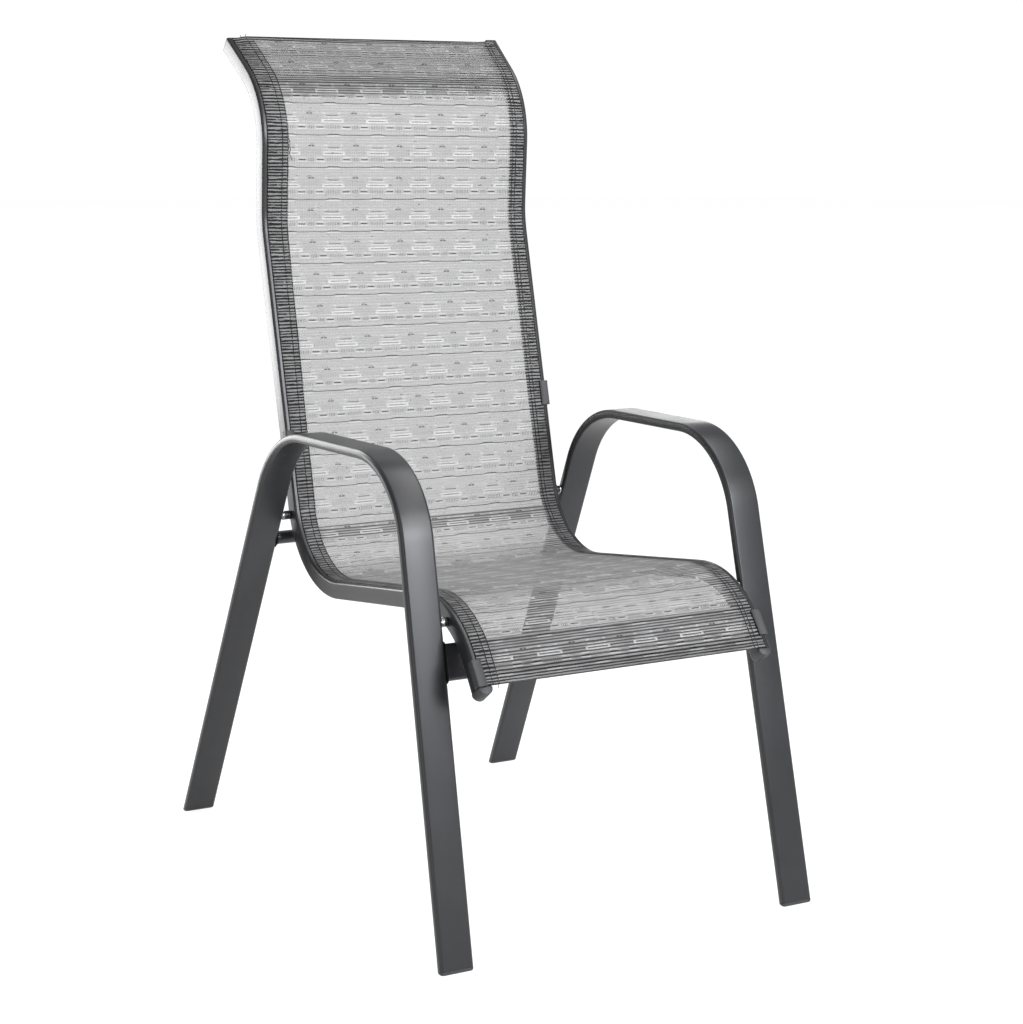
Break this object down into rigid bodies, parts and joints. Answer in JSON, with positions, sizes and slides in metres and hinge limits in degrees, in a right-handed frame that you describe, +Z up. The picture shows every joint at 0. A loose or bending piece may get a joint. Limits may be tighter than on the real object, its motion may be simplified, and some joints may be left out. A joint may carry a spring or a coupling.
{
  "type": "sling patio chair",
  "caption": "High-back stacking patio chair: bent flat-tube side loops form legs and arms and carry a one-piece curved sling seat and back on slotted side rails.",
  "frame": {"origin": "middle of the floor area under the chair, at floor level, which is the bottom centre of the bounding box", "axes": "+X to the right as seen from the front, +Y to the back of the chair, +Z up; the front of the seat faces -Y"},
  "size_m": [0.5634, 0.7978, 1.1212],
  "materials": {
    "powder_coat": "fine textured charcoal powder coat, satin",
    "sling_mesh": "open woven coated yarn in light grey with dark weft stripes",
    "rod_plastic": "pale extruded rod",
    "glide_plastic": "dark moulded, dull",
    "grey_plastic": "grey moulded, satin",
    "spacer_plastic": "black moulded, dull",
    "zinc_plate": "zinc plated",
    "washer_plate": "bright zinc plated"
  },
  "bodies": {
    "root": {"left_arm_loop": "powder_coat", "right_arm_loop": "powder_coat", "front_crossbar": "powder_coat", "rear_crossbar": "powder_coat", "left_sling_rail": "powder_coat", "right_sling_rail": "powder_coat", "back_spreader": "powder_coat", "sling_fabric": "sling_mesh", "left_spline_rod": "rod_plastic", "right_spline_rod": "rod_plastic", "left_front_glide": "glide_plastic", "left_rear_glide": "glide_plastic", "left_top_cap": "grey_plastic", "left_foot_cap": "grey_plastic", "left_front_bumper": "grey_plastic", "left_back_bumper": "grey_plastic", "left_front_bolt": "zinc_plate", "left_front_spacer": "spacer_plastic", "left_front_washer": "washer_plate", "left_front_insert": "zinc_plate", "left_rear_bolt": "zinc_plate", "left_rear_spacer": "spacer_plastic", "left_rear_washer": "washer_plate", "left_rear_insert": "zinc_plate", "right_front_glide": "glide_plastic", "right_rear_glide": "glide_plastic", "right_top_cap": "grey_plastic", "right_foot_cap": "grey_plastic", "right_front_bumper": "grey_plastic", "right_back_bumper": "grey_plastic", "right_front_bolt": "zinc_plate", "right_front_spacer": "spacer_plastic", "right_front_washer": "washer_plate", "right_front_insert": "zinc_plate", "right_rear_bolt": "zinc_plate", "right_rear_spacer": "spacer_plastic", "right_rear_washer": "washer_plate", "right_rear_insert": "zinc_plate"}
  },
  "joints": []
}
